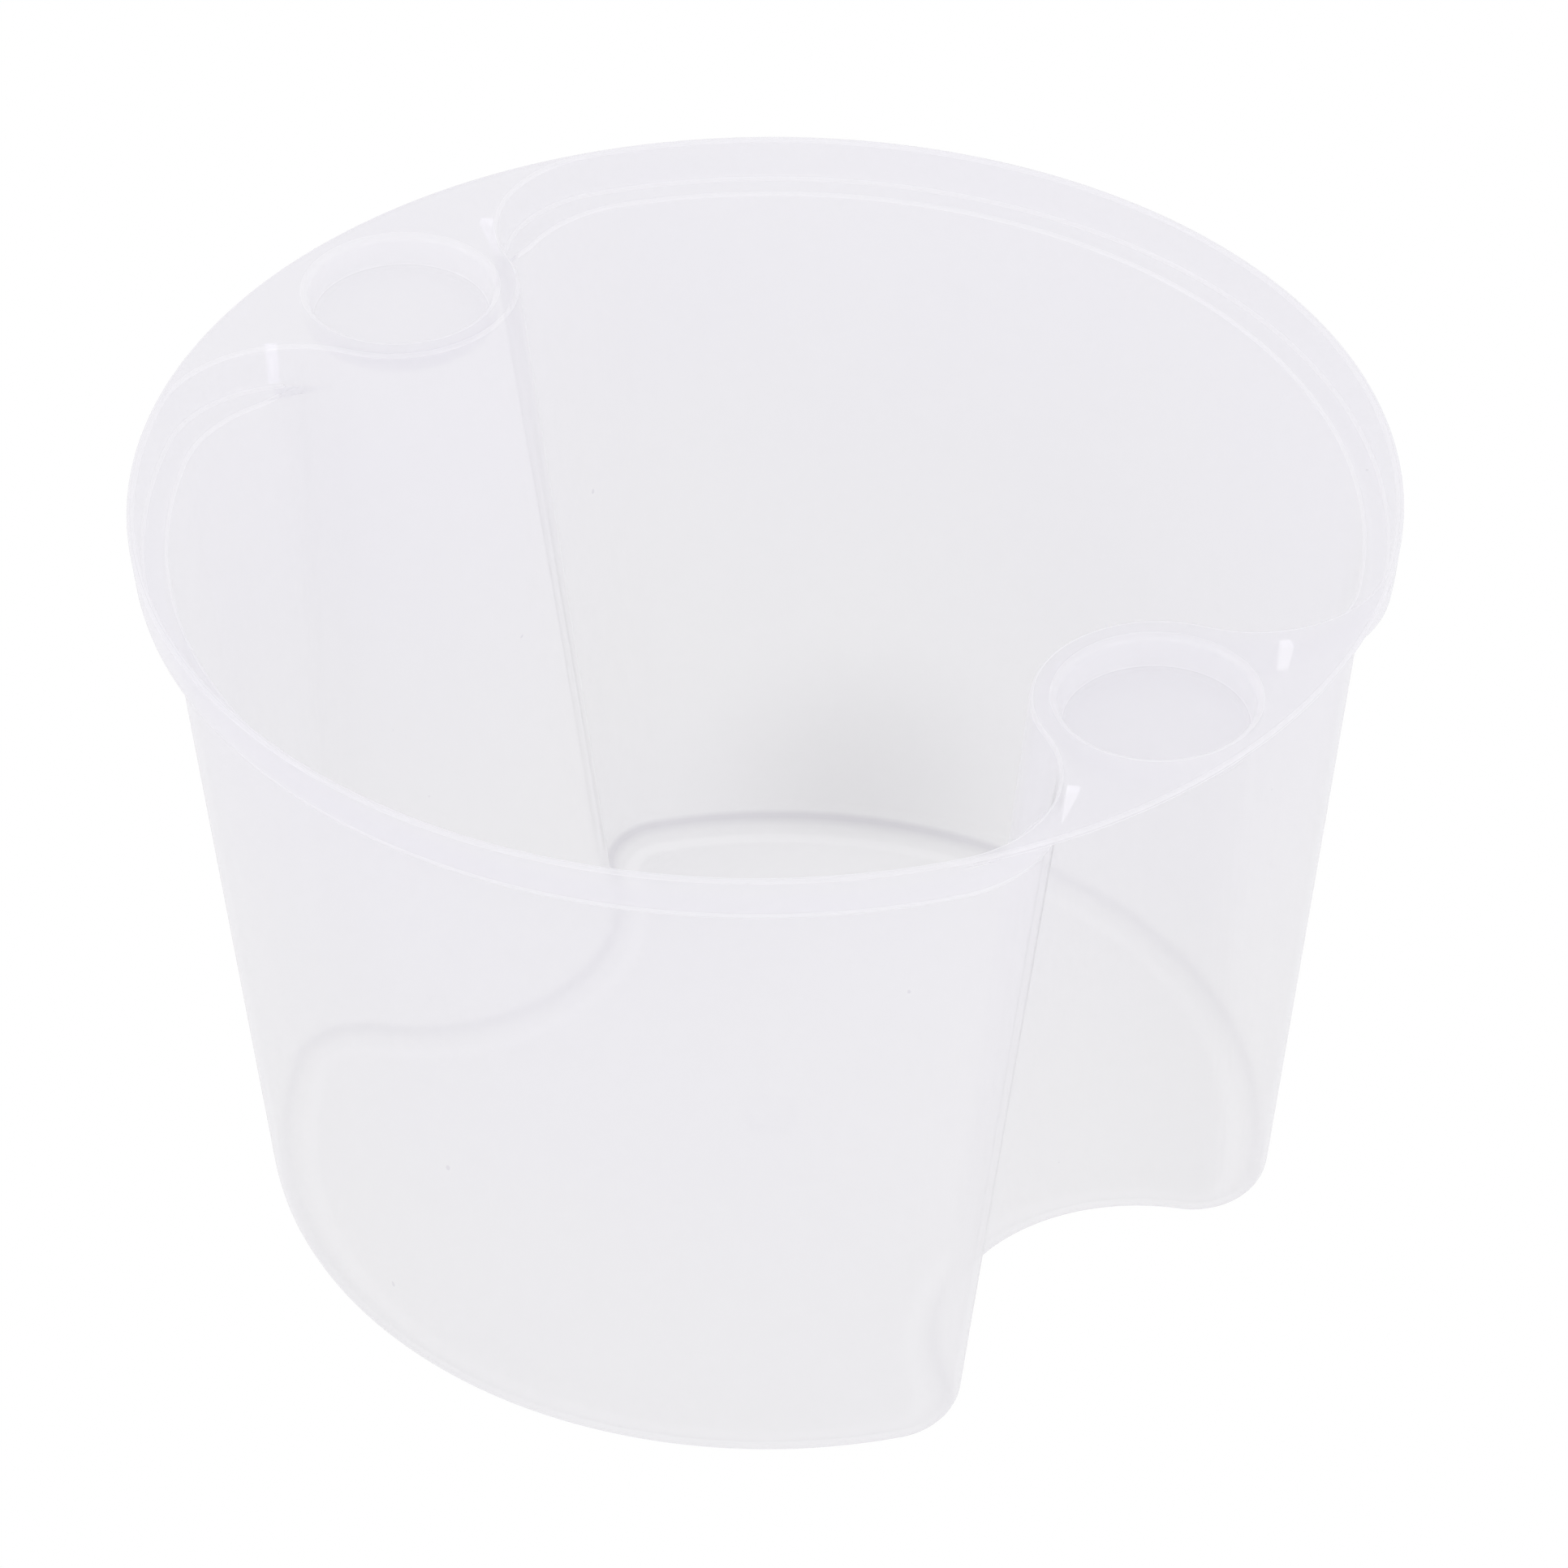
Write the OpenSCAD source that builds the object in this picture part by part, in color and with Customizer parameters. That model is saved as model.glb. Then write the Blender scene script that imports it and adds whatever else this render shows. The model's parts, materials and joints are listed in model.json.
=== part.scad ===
// Round two-grip tub, moulded in one piece, standing on its foot.
// Origin at the centre of the standing plane, +Z up, grips on +X and -X, millimetres.

/* [Body] */
// Outside radius of the rim
rim_r = 100; // [90:0.5:110]
// Overall height from the standing plane to the rim
body_h = 131; // [110:0.5:150]
// Wall thickness all over
wall_t = 1.2; // [1:0.05:1.5]
// Lean of every side wall from the vertical, in degrees
draft = 5.7; // [5:0.05:6]
// Outside radius of the rounded corner between wall and floor, at the lobes
foot_r = 5; // [4:0.1:6]

/* [Lid seat] */
// Depth of the ledge below the rim
seat_depth = 7.4; // [6:0.1:9]
// Width of the ledge at the lobes
seat_w = 4.2; // [3.4:0.1:5]
// Radius of the rounded lower edge of the rim band
seat_round = 2; // [1.6:0.1:2.6]
// How much tighter the rim band turns at its corners than the wall under it
corner_step = 1.8; // [1.5:0.05:2.1]

/* [Grips] */
// Distance of each grip centre inside the rim
grip_in = 18; // [16.5:0.1:19]
// Radius of each finger pocket at the rim
grip_r = 18.7; // [17.5:0.1:19.5]
// Thickness of the shelf over each pocket
shelf_t = 1.3; // [1:0.05:1.8]
// Distance of each thumb cup's centre inside its grip centre
cup_in = 0.8; // [0.4:0.1:1]
// Level distance from the pocket wall to the mouth of the thumb cup
cup_gap = 3.7; // [3.4:0.1:5]
// Depth of each thumb cup
cup_depth = 5.5; // [4.5:0.1:7]
// Radius of the inside corner of each thumb cup
cup_round = 1.2; // [0.8:0.1:1.6]
// Thickness of each gusset rib under a shelf
rib_t = 2; // [1.5:0.1:2.6]
// Reach of each gusset rib beyond the rim band
rib_out = 1.8; // [1.2:0.1:2.4]
// Direction of each gusset rib about its rim corner, in degrees
rib_angle = 36.5; // [30:0.5:45]

/* [Floor] */
// Width of the flat standing ring inside the rounded foot
ring_w = 2.4; // [1.8:0.1:2.6]
// Width of the slope up to the floor panel
slope_w = 3.4; // [2.6:0.1:3.6]
// Radius left at the corners of the floor panel
panel_corner_r = 1.74; // [1.5:0.02:2.4]
// Height of the floor panel above the standing plane
panel_z = 1; // [0.6:0.1:1.4]
// Radius of the gate mark
gate_r = 4; // [3:0.1:5]
// Step of the gate mark above the floor panel
gate_step = 0.4; // [0.2:0.1:0.6]

/* [Hidden] */
$fn = 96;
// Roundings drawn as short straight steps of this many parts
steps = 6;
// Slack by which cutters reach past what they cut
over = 0.5;
// Hairline left at each end of a sweep, so that neighbours never share a face, in degrees
hair = 0.005;
// Inward travel of a wall for each millimetre of depth
lean = tan(draft);
// Wall thickness measured level
wall_u = wall_t / cos(draft);

// Level of the ledge, of its underside and of the shelf underside
seat_z = body_h - seat_depth;
seat_low_z = seat_z - wall_t;
shelf_z = body_h - shelf_t;

// Distances of the grip and thumb cup centres from the middle, and the mouth radius of a cup
grip_x = rim_r - grip_in;
cup_x = grip_x - cup_in;
cup_r = grip_r - cup_gap;

// Foot rounding: its centre in wall section, level distance from the ledge corner
foot_u = lean * (seat_z - foot_r + foot_r * sin(draft)) + foot_r * cos(draft);
foot_in_r = foot_r - wall_t;
// Ends of the floor ring and of its slope, and the top of the floor panel
ring_u = foot_u + ring_w;
slope_u = ring_u + slope_w;
panel_top = panel_z + wall_t;

// Outside corner radii between lobes and grips: the main wall at the ledge, and the rim band
wall_corner_r = slope_u + panel_corner_r;
band_corner_r = wall_corner_r - corner_step;

// Outside radii of the main wall at the ledge level: lobes and finger pockets
lobe_r = rim_r - lean * seat_depth - seat_w;
pocket_r = grip_r + lean * seat_depth;

// Centre of a main wall corner: inside the lobe circle, outside the pocket circle
corner_o = lobe_r - wall_corner_r;
corner_p = pocket_r + wall_corner_r;
corner_x = (corner_o * corner_o - corner_p * corner_p + grip_x * grip_x) / (2 * grip_x);
corner_y = sqrt(corner_o * corner_o - corner_x * corner_x);
corner_a = atan2(corner_y, corner_x);
corner_in_a = atan2(-corner_y, grip_x - corner_x);
pocket_a = atan2(corner_y, corner_x - grip_x);

// Centre of a rim band corner, found in the same way
band_o = rim_r - band_corner_r;
band_p = grip_r + band_corner_r;
band_x = (band_o * band_o - band_p * band_p + grip_x * grip_x) / (2 * grip_x);
band_y = sqrt(band_o * band_o - band_x * band_x);
band_a = atan2(band_y, band_x);
band_in_a = atan2(-band_y, grip_x - band_x);
band_pocket_a = atan2(band_y, band_x - grip_x);

// Rounding under the rim band: its centre in rim section
round_z = seat_low_z + seat_round;
round_u = lean * (body_h - round_z + seat_round * sin(draft)) + seat_round * cos(draft);
// Place on that rounding, in degrees, where it crosses the ledge level
round_a = asin(1 - wall_t / seat_round);

// Level distance from the rim to the main wall at the lobes
ledge_u = rim_r - lobe_r;
// Inner limits of the ledge blanks before the main wall is cut out of them
blank_r = lobe_r - 3 * wall_t;
blank_corner_r = wall_corner_r / 2;
// Direction about a rim corner where the ledge ends: there the main wall comes out under the band
core_dx = corner_x - band_x;
core_dy = corner_y - band_y;
core_d = sqrt(core_dx * core_dx + core_dy * core_dy);
core_reach = wall_corner_r + lean * over;
band_in_r = band_corner_r - lean * seat_depth - wall_u;
core_cos = (core_d * core_d + band_in_r * band_in_r - core_reach * core_reach) / (2 * core_d * band_in_r);
seat_end_a = atan2(core_dy, core_dx) + acos(core_cos);
// Half angle of a gusset rib
rib_half = asin(rib_t / 2 / (band_corner_r + rib_out));

// Colour of the milky plastic
milk = [0.92, 0.92, 0.94];
// Slightly darker tone of the seat and shelves
milk_edge = [0.86, 0.86, 0.90];

// Section sweeps: children are drawn in (inward distance, height) from the outside face.

// Sweep about the middle of the tub, for a lobe
module about_middle(r, a0, a1) {
    rotate([0, 0, a0 + hair])
        rotate_extrude(angle = a1 - a0 - 2 * hair)
            translate([r, 0])
                mirror([1, 0])
                    children();
}

// Sweep about the centre of a main wall corner
module about_corner() {
    translate([corner_x, corner_y, 0])
        rotate([0, 0, corner_in_a + hair])
            rotate_extrude(angle = corner_a - corner_in_a - 2 * hair)
                translate([wall_corner_r, 0])
                    mirror([1, 0])
                        children();
}

// Sweep about a grip centre between its two main wall corners
module about_grip() {
    translate([grip_x, 0, 0])
        rotate([0, 0, pocket_a + hair])
            rotate_extrude(angle = 360 - 2 * pocket_a - 2 * hair)
                translate([pocket_r, 0])
                    children();
}

// Sweep about the centre of a rim band corner
module about_band_corner(a0, a1) {
    translate([band_x, band_y, 0])
        rotate([0, 0, a0 + hair])
            rotate_extrude(angle = a1 - a0 - 2 * hair)
                translate([band_corner_r, 0])
                    mirror([1, 0])
                        children();
}

// Sweep about a grip centre between its two rim band corners
module about_band_grip() {
    translate([grip_x, 0, 0])
        rotate([0, 0, band_pocket_a + hair])
            rotate_extrude(angle = 360 - 2 * band_pocket_a - 2 * hair)
                translate([grip_r, 0])
                    children();
}

// A child and its mirror image across the grip line
module both_corners() {
    children();
    mirror([0, 1, 0])
        children();
}

// One section carried round the whole outline of the main wall
module whole_outline() {
    for (turn = [0, 180])
        rotate([0, 0, turn]) {
            about_middle(lobe_r, corner_a, 180 - corner_a)
                children();
            about_grip()
                children();
            both_corners()
                about_corner()
                    children();
        }
}

// Section of the main wall from the foot rounding up to the ledge
module wall_section() {
    polygon([
        [0, seat_z],
        [wall_u, seat_z],
        [foot_u - foot_in_r * cos(draft), foot_r - foot_in_r * sin(draft)],
        [foot_u - foot_r * cos(draft), foot_r - foot_r * sin(draft)]
    ]);
}

// Section of the rounded foot: a band between two circles, cut at its two ends
module foot_section() {
    reach = 2 * foot_r;
    intersection() {
        translate([foot_u, foot_r])
            difference() {
                circle(r = foot_r);
                circle(r = foot_in_r);
            }
        polygon([
            [foot_u, foot_r],
            [foot_u - reach * cos(draft), foot_r - reach * sin(draft)],
            [foot_u - reach, foot_r - reach],
            [foot_u, foot_r - reach]
        ]);
    }
}

// Section of the standing ring and the slope up to the floor panel
module ring_section() {
    polygon([
        [foot_u, 0],
        [ring_u, 0],
        [slope_u, panel_z],
        [slope_u, panel_top],
        [ring_u, wall_t],
        [foot_u, wall_t]
    ]);
}

// Section of the rim band from the ledge level up to a given level
module band_section(top_z) {
    polygon(concat(
        [
            [lean * (body_h - top_z), top_z],
            [lean * (body_h - top_z) + wall_u, top_z],
            [lean * seat_depth + wall_u, seat_z]
        ],
        [for (i = [0 : steps / 2])
            let (a = round_a + (draft - round_a) * 2 * i / steps)
                [round_u - seat_round * cos(a), round_z - seat_round * sin(a)]]
    ));
}

// Section of band and ledge in one, with a rounded lower edge, from an inner limit at top and bottom
module seat_section(top_z, top_u, low_u) {
    polygon(concat(
        [
            [lean * (body_h - top_z), top_z],
            [lean * (body_h - top_z) + wall_u, top_z],
            [lean * seat_depth + wall_u, seat_z],
            [top_u, seat_z],
            [low_u, seat_low_z]
        ],
        [for (i = [0 : steps])
            let (a = 90 + (draft - 90) * i / steps)
                [round_u - seat_round * cos(a), round_z - seat_round * sin(a)]]
    ));
}

// Cone filled by the inside of a main wall corner, for trimming the ledge
module corner_core() {
    translate([corner_x, corner_y, seat_low_z - over])
        cylinder(h = wall_t + 2 * over,
            r1 = wall_corner_r - lean * (wall_t + over),
            r2 = wall_corner_r + lean * over);
}

// One lid seat: band and ledge of a lobe, carried round both corners to the grips
module lid_seat() {
    about_middle(rim_r, corner_a, 180 - corner_a)
        seat_section(body_h, ledge_u, ledge_u + lean * wall_t);
    for (side = [0, 1])
        mirror([side, 0, 0]) {
            difference() {
                about_middle(rim_r, band_a, corner_a)
                    seat_section(body_h, rim_r - blank_r, rim_r - blank_r);
                corner_core();
            }
            difference() {
                about_band_corner(seat_end_a, band_a)
                    seat_section(shelf_z, band_corner_r - blank_corner_r, band_corner_r - blank_corner_r);
                corner_core();
            }
            about_band_corner(band_in_a, seat_end_a)
                band_section(shelf_z);
        }
}

// One grip wall: the pocket and its two corners, up to the ledge level
module grip_wall() {
    about_grip()
        wall_section();
    both_corners()
        about_corner()
            wall_section();
}

// One grip head: the pocket carried on from the ledge level, with the edge of the shelf in one
module grip_head() {
    difference() {
        about_band_grip()
            head_section();
        cup_hole();
    }
}

// Section of the pocket head: same lean as the rim band, turned over at the top into the shelf
module head_section() {
    polygon([
        [-grip_r / 2, shelf_z],
        [lean * shelf_t, shelf_z],
        [lean * seat_depth, seat_z],
        [lean * seat_depth + wall_u, seat_z],
        [wall_u, body_h],
        [-grip_r / 2, body_h]
    ]);
}

// Hole through shelf and head for a thumb cup
module cup_hole() {
    translate([cup_x, 0, shelf_z - over])
        cylinder(h = shelf_t + 2 * over, r = cup_r);
}

// Cone cleared by the inside of a rim band corner, through the shelf
module band_corner_core() {
    translate([band_x, band_y, shelf_z - over])
        cylinder(h = shelf_t + 2 * over,
            r1 = band_corner_r - wall_u - lean * (shelf_t + over),
            r2 = band_corner_r - wall_u + lean * over);
}

// One grip shelf: the field between the two rim corners out to the rim, with the cup hole
module grip_shelf() {
    far = 1.5 * rim_r;
    difference() {
        intersection() {
            translate([0, 0, shelf_z])
                cylinder(h = shelf_t, r1 = rim_r - lean * shelf_t, r2 = rim_r);
            translate([0, 0, shelf_z - over])
                linear_extrude(height = shelf_t + 2 * over)
                    polygon([
                        [grip_x, 0],
                        [band_x, band_y],
                        [far * cos(band_a), far * sin(band_a)],
                        [far * cos(band_a), -far * sin(band_a)],
                        [band_x, -band_y]
                    ]);
        }
        both_corners()
            band_corner_core();
        cup_hole();
    }
}

// One thumb cup hanging from the edge of the hole in its shelf
module thumb_cup() {
    floor_z = body_h - cup_depth;
    low_r = cup_r - lean * (cup_depth - shelf_t);
    translate([cup_x, 0, 0])
        rotate_extrude(angle = 360)
            polygon(concat(
                [[0, floor_z - wall_t], [0, floor_z]],
                [for (i = [0 : steps])
                    let (a = (90 - draft) * (1 - i / steps) + draft)
                        [low_r - cup_round + cup_round * cos(a),
                            floor_z + cup_round - cup_round * sin(a)]],
                [[cup_r, shelf_z], [cup_r + wall_t, shelf_z]],
                [for (i = [0 : steps])
                    let (a = (90 - draft) * i / steps + draft,
                        out_round = cup_round + wall_t)
                        [low_r - cup_round + out_round * cos(a),
                            floor_z + cup_round - out_round * sin(a)]]
            ));
}

// Two gusset ribs under one shelf, on the outside of its rim corners
module gussets() {
    both_corners()
        about_band_corner(-rib_angle - rib_half, -rib_angle + rib_half)
            polygon([
                [lean * shelf_t, shelf_z],
                [-rib_out, shelf_z],
                [lean * seat_depth, seat_z]
            ]);
}

// Section of the floor panel out to a given radius
module panel_section(r) {
    translate([0, panel_z])
        square([r, wall_t]);
}

// One half of the floor panel: a lobe sector, two corner sectors and the field before a grip
module panel_half() {
    rotate([0, 0, corner_a + hair])
        rotate_extrude(angle = 180 - 2 * corner_a - 2 * hair)
            panel_section(lobe_r - slope_u);
    both_corners()
        translate([corner_x, corner_y, 0])
            rotate([0, 0, corner_in_a + hair])
                rotate_extrude(angle = corner_a - corner_in_a - 2 * hair)
                    panel_section(panel_corner_r);
    difference() {
        translate([0, 0, panel_z])
            linear_extrude(height = wall_t)
                polygon([[0, 0], [corner_x, -corner_y], [grip_x, 0], [corner_x, corner_y]]);
        translate([grip_x, 0, panel_z - over])
            cylinder(h = wall_t + 2 * over, r = pocket_r + slope_u);
    }
}

module floor_panel() {
    color(milk)
        difference() {
            for (turn = [0, 180])
                rotate([0, 0, turn])
                    panel_half();
            translate([0, 0, panel_z - over])
                cylinder(h = wall_t + 2 * over, r = gate_r);
        }
}

module gate_mark() {
    color(milk_edge)
        translate([0, 0, panel_z + gate_step]) {
            cylinder(h = wall_t, r = gate_r);
            translate([0, 0, -gate_step])
                cylinder(h = gate_step, r = gate_r / 4);
        }
}

module floor_ring() {
    color(milk)
        whole_outline()
            ring_section();
}

module foot_ring() {
    color(milk)
        whole_outline()
            foot_section();
}

module back_wall() {
    color(milk)
        about_middle(lobe_r, corner_a, 180 - corner_a)
            wall_section();
}

module front_wall() {
    rotate([0, 0, 180])
        back_wall();
}

module right_grip_wall() {
    color(milk)
        grip_wall();
}

module left_grip_wall() {
    rotate([0, 0, 180])
        right_grip_wall();
}

module right_grip_head() {
    color(milk)
        grip_head();
}

module left_grip_head() {
    rotate([0, 0, 180])
        right_grip_head();
}

module back_lid_seat() {
    color(milk_edge)
        lid_seat();
}

module front_lid_seat() {
    rotate([0, 0, 180])
        back_lid_seat();
}

module right_grip_shelf() {
    color(milk_edge)
        grip_shelf();
}

module left_grip_shelf() {
    rotate([0, 0, 180])
        right_grip_shelf();
}

module right_thumb_cup() {
    color(milk)
        thumb_cup();
}

module left_thumb_cup() {
    rotate([0, 0, 180])
        right_thumb_cup();
}

module right_gussets() {
    color(milk_edge)
        gussets();
}

module left_gussets() {
    rotate([0, 0, 180])
        right_gussets();
}

floor_panel();
gate_mark();
floor_ring();
foot_ring();
front_wall();
back_wall();
left_grip_wall();
right_grip_wall();
left_grip_head();
right_grip_head();
front_lid_seat();
back_lid_seat();
left_grip_shelf();
right_grip_shelf();
left_thumb_cup();
right_thumb_cup();
left_gussets();
right_gussets();
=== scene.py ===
"""Milky two-grip tub in the photograph's view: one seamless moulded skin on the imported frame."""

import json
import logging
import math
from collections.abc import Callable, Iterable
from dataclasses import dataclass, field
from enum import Enum

import bmesh
import bpy
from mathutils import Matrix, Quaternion, Vector

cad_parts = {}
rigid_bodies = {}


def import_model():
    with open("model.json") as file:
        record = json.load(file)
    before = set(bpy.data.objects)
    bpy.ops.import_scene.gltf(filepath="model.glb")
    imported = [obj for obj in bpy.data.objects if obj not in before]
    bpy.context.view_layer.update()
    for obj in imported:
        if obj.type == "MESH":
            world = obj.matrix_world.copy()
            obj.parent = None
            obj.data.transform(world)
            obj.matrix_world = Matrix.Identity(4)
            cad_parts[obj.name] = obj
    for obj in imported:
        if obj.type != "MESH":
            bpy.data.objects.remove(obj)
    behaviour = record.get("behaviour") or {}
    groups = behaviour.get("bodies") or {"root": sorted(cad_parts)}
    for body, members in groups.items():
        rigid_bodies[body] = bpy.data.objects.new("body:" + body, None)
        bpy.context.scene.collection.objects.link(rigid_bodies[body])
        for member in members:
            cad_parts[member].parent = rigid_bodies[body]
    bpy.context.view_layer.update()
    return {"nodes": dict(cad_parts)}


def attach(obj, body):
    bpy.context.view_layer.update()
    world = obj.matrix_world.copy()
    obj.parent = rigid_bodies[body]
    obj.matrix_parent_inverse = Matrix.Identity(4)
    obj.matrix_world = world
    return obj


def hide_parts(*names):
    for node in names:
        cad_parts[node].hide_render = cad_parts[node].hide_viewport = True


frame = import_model()

MM = 0.001  # metres in a millimetre
WELD = 5e-6  # metres within which points are merged
FLAT = 1e-7  # metres below which an edge or face counts as nothing
LEVEL = 0.01  # millimetres within which a point lies on a level or an outline
EDGE_LEVEL = 0.05  # millimetres within which an edge belongs to a level
LOG = logging.getLogger("tub")

Point = tuple[float, float]
Place = tuple[float, float, float]
Colour = tuple[float, float, float]
Feed = bpy.types.NodeSocket | float | tuple[float, ...]
EdgeTest = Callable[[bmesh.types.BMEdge], bool]


class Side(Enum):
    """The two grips, by the sign of their place along X."""

    RIGHT = 1
    LEFT = -1


class Finish(Enum):
    """The finishes of the skin, by their material slot."""

    WALL = 0
    # EDGE is lighter and carries a painted glow: a painted highlight on rounded edges and cup
    # walls.
    EDGE = 1


@dataclass(frozen=True)
class TubSizes:
    """Driving sizes of the moulding, in millimetres and degrees."""

    rim_r: float = 100.0
    body_h: float = 131.0
    wall_t: float = 1.2
    draft: float = 5.7
    foot_r: float = 5.0
    ring_w: float = 2.4
    slope_w: float = 3.4
    panel_z: float = 1.0
    panel_corner_r: float = 1.74
    gate_r: float = 4.0
    gate_step: float = 0.4
    seat_depth: float = 7.4
    seat_w: float = 4.2
    corner_step: float = 1.8
    grip_in: float = 18.0
    grip_r: float = 18.7
    shelf_t: float = 1.3
    cup_in: float = 0.8
    cup_gap: float = 3.7
    cup_depth: float = 5.5
    cup_round: float = 1.2
    ledge_full: float = 4.15
    ledge_end: float = 3.1

    def ledge_left(self, gap: float) -> float:
        """Share of the ledge that is left where band and wall stand a gap apart, in millimetres."""
        past = min(1.0, max(0.0, (gap - self.ledge_end) / (self.ledge_full - self.ledge_end)))
        return 1 - (1 - past) ** 2

    @property
    def lean(self) -> float:
        """Inward travel of a wall for each millimetre of depth."""
        return math.tan(math.radians(self.draft))

    @property
    def wall_u(self) -> float:
        """Wall thickness measured level."""
        return self.wall_t / math.cos(math.radians(self.draft))

    @property
    def seat_z(self) -> float:
        """Level of the lid ledge."""
        return self.body_h - self.seat_depth

    @property
    def seat_low_z(self) -> float:
        """Level of the underside of the lid ledge."""
        return self.seat_z - self.wall_t

    @property
    def seat_rim_u(self) -> float:
        """Offset of the rim band's inner face at the ledge."""
        return self.wall_u + self.lean * self.seat_depth

    @property
    def low_wall_u(self) -> float:
        """Offset of the main wall's outer face under the ledge."""
        return self.lean * self.wall_t

    @property
    def low_rim_u(self) -> float:
        """Offset of the rim band's outer face under the ledge."""
        return self.lean * (self.body_h - self.seat_low_z)

    @property
    def shelf_z(self) -> float:
        """Level of the underside of the grip shelves."""
        return self.body_h - self.shelf_t

    @property
    def foot_u(self) -> float:
        """Level distance from the ledge corner in to the centre of the foot rounding."""
        a = math.radians(self.draft)
        drop = self.seat_z - self.foot_r + self.foot_r * math.sin(a)
        return self.lean * drop + self.foot_r * math.cos(a)

    @property
    def ring_u(self) -> float:
        """Inner end of the flat standing ring."""
        return self.foot_u + self.ring_w

    @property
    def slope_u(self) -> float:
        """Inner end of the slope up to the floor panel."""
        return self.ring_u + self.slope_w

    @property
    def panel_top(self) -> float:
        """Level of the inside of the floor panel."""
        return self.panel_z + self.wall_t

    @property
    def wall_corner_r(self) -> float:
        """Outside corner radius of the main wall at the ledge."""
        return self.slope_u + self.panel_corner_r

    @property
    def band_corner_r(self) -> float:
        """Outside corner radius of the rim band."""
        return self.wall_corner_r - self.corner_step

    @property
    def lobe_r(self) -> float:
        """Outside radius of the main wall at the ledge."""
        return self.rim_r - self.lean * self.seat_depth - self.seat_w

    @property
    def pocket_r(self) -> float:
        """Radius of a finger pocket at the ledge."""
        return self.grip_r + self.lean * self.seat_depth

    @property
    def grip_x(self) -> float:
        """Distance of a grip centre from the middle."""
        return self.rim_r - self.grip_in

    @property
    def cup_x(self) -> float:
        """Distance of a thumb cup centre from the middle."""
        return self.grip_x - self.cup_in

    @property
    def cup_r(self) -> float:
        """Radius of a thumb cup at its mouth."""
        return self.grip_r - self.cup_gap


@dataclass(frozen=True)
class Turn:
    """One arc of an outline: its centre, its signed turn in degrees and its number of steps."""

    centre: Point
    angle: float
    steps: int


@dataclass(frozen=True)
class Outline:
    """A closed outline of two lobes and two grips, made of tangent arcs.

    Offsets are level distances inwards from the outline, so one section walks round all the arcs.
    """

    lobe_r: float
    corner_r: float
    pocket_r: float
    grip_x: float

    @property
    def corner(self) -> Point:
        """Centre of the corner arc in the quadrant of positive X and Y."""
        o, p = self.lobe_r - self.corner_r, self.pocket_r + self.corner_r
        x = (o * o - p * p + self.grip_x**2) / (2 * self.grip_x)
        return x, math.sqrt(o * o - x * x)

    @property
    def lobe_a(self) -> float:
        """Direction, in degrees, at which a lobe ends and a corner begins."""
        x, y = self.corner
        return math.degrees(math.atan2(y, x))

    @property
    def pocket_a(self) -> float:
        """Direction about a grip centre, in degrees, at which the pocket begins."""
        x, y = self.corner
        return math.degrees(math.atan2(y, x - self.grip_x))

    @property
    def corner_turn(self) -> float:
        """Turn of one corner arc, in degrees."""
        return self.lobe_a + 180 - self.pocket_a

    def start(self, u: float, z: float) -> Vector:
        """Gives the first point of a walk round the outline.

        Args:
            u: Level distance inwards from the outline, in millimetres.
            z: Height, in millimetres.

        Returns:
            The point in metres.
        """
        a, r = math.radians(self.lobe_a), self.lobe_r - u
        return Vector((r * math.cos(a), r * math.sin(a), z)) * MM

    def outward(self, x: float, y: float, u: float) -> float:
        """Measures how far a place lies outside the outline at an offset.

        Args:
            x: Place along X, in millimetres.
            y: Place along Y, in millimetres.
            u: Level distance of the compared outline inwards, in millimetres.

        Returns:
            The level distance in millimetres, negative inside.
        """
        x, y = abs(x), abs(y)
        cx, cy = self.corner
        if math.degrees(math.atan2(y, x)) >= self.lobe_a:
            return math.hypot(x, y) - (self.lobe_r - u)
        if math.degrees(math.atan2(y, x - self.grip_x)) < self.pocket_a:
            return math.hypot(x - cx, y - cy) - (self.corner_r - u)
        return (self.pocket_r + u) - math.hypot(x - self.grip_x, y)


@dataclass(frozen=True)
class Columns:
    """Numbers of steps round the outline; wall and rim have the same count, column for column."""

    lobe: int = 96
    corner: int = 24
    blend: int = 4
    pocket: int = 40

    def wall_turns(self, wall: Outline) -> list[Turn]:
        """Gives the walk round the main wall.

        Args:
            wall: Outline of the main wall.

        Returns:
            The turns, starting at the end of the right grip's rear corner.
        """
        cx, cy = wall.corner
        half = [
            Turn((0.0, 0.0), 180 - 2 * wall.lobe_a, self.lobe),
            Turn((-cx, cy), wall.corner_turn, self.corner + self.blend),
            Turn((-wall.grip_x, 0.0), 2 * wall.pocket_a - 360, self.pocket),
            Turn((-cx, -cy), wall.corner_turn, self.corner + self.blend),
        ]
        return half + [Turn((-t.centre[0], -t.centre[1]), t.angle, t.steps) for t in half]

    def rim_turns(self, rim: Outline, wall: Outline) -> list[Turn]:
        """Gives the walk round the rim band, with the pocket's columns in line with the wall's.

        Args:
            rim: Outline of the rim band.
            wall: Outline of the main wall.

        Returns:
            The turns, starting at the end of the right grip's rear corner.
        """
        cx, cy = rim.corner
        grip = (-rim.grip_x, 0.0)
        blend = Turn(grip, rim.pocket_a - wall.pocket_a, self.blend)
        half = [
            Turn((0.0, 0.0), 180 - 2 * rim.lobe_a, self.lobe),
            Turn((-cx, cy), rim.corner_turn, self.corner),
            blend,
            Turn(grip, 2 * wall.pocket_a - 360, self.pocket),
            blend,
            Turn((-cx, -cy), rim.corner_turn, self.corner),
        ]
        return half + [Turn((-t.centre[0], -t.centre[1]), t.angle, t.steps) for t in half]


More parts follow.
